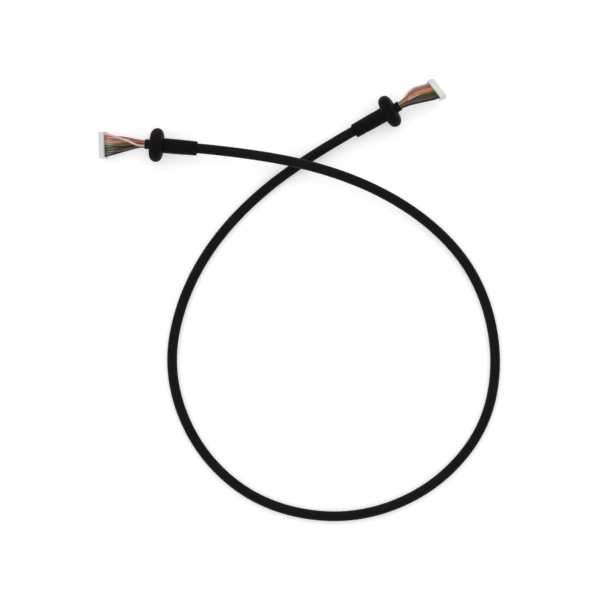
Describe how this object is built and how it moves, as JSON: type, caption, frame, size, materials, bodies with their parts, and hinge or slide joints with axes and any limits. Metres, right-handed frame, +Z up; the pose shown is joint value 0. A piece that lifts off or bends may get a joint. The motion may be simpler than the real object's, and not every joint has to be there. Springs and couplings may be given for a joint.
{
  "type": "headset cable",
  "caption": "Round black multi-core lead lying in one loop, with a moulded collar strain relief, colour-coded wires and a small crimp plug at each end.",
  "frame": {"origin": "on the surface the cable lies on, under the middle of the whole part's box", "axes": "+Z up from that surface; +Y towards the side where the cable's two ends lie, and along the part's longer side; +X from the end that passes over the crossing towards the other end"},
  "size_m": [0.2092, 0.2305, 0.0176],
  "materials": {
    "jacket": "soft satin, fine extrusion grain",
    "moulding": "fine matt mould texture",
    "housing": "natural white nylon, satin",
    "terminal": "tin plated",
    "wire_white": "extruded insulation, soft gloss",
    "wire_brown": "extruded insulation, soft gloss",
    "wire_red": "extruded insulation, soft gloss",
    "wire_orange": "extruded insulation, soft gloss",
    "wire_yellow": "extruded insulation, soft gloss",
    "wire_green": "extruded insulation, soft gloss",
    "wire_blue": "extruded insulation, soft gloss",
    "wire_violet": "extruded insulation, soft gloss",
    "wire_grey": "extruded insulation, soft gloss",
    "wire_black": "extruded insulation, soft gloss"
  },
  "bodies": {
    "root": {"main_cable": "jacket", "left_strain_relief": "moulding", "left_plug_housing": "housing", "left_wire_white": "wire_white", "left_terminal_white": "terminal", "left_wire_brown": "wire_brown", "left_terminal_brown": "terminal", "left_wire_red": "wire_red", "left_terminal_red": "terminal", "left_wire_orange": "wire_orange", "left_terminal_orange": "terminal", "left_wire_yellow": "wire_yellow", "left_terminal_yellow": "terminal", "left_wire_green": "wire_green", "left_terminal_green": "terminal", "left_wire_blue": "wire_blue", "left_terminal_blue": "terminal", "left_wire_violet": "wire_violet", "left_terminal_violet": "terminal", "left_wire_grey": "wire_grey", "left_terminal_grey": "terminal", "left_wire_black": "wire_black", "left_terminal_black": "terminal", "right_strain_relief": "moulding", "right_plug_housing": "housing", "right_wire_white": "wire_white", "right_terminal_white": "terminal", "right_wire_brown": "wire_brown", "right_terminal_brown": "terminal", "right_wire_red": "wire_red", "right_terminal_red": "terminal", "right_wire_orange": "wire_orange", "right_terminal_orange": "terminal", "right_wire_yellow": "wire_yellow", "right_terminal_yellow": "terminal", "right_wire_green": "wire_green", "right_terminal_green": "terminal", "right_wire_blue": "wire_blue", "right_terminal_blue": "terminal", "right_wire_violet": "wire_violet", "right_terminal_violet": "terminal", "right_wire_grey": "wire_grey", "right_terminal_grey": "terminal", "right_wire_black": "wire_black", "right_terminal_black": "terminal"}
  },
  "joints": []
}
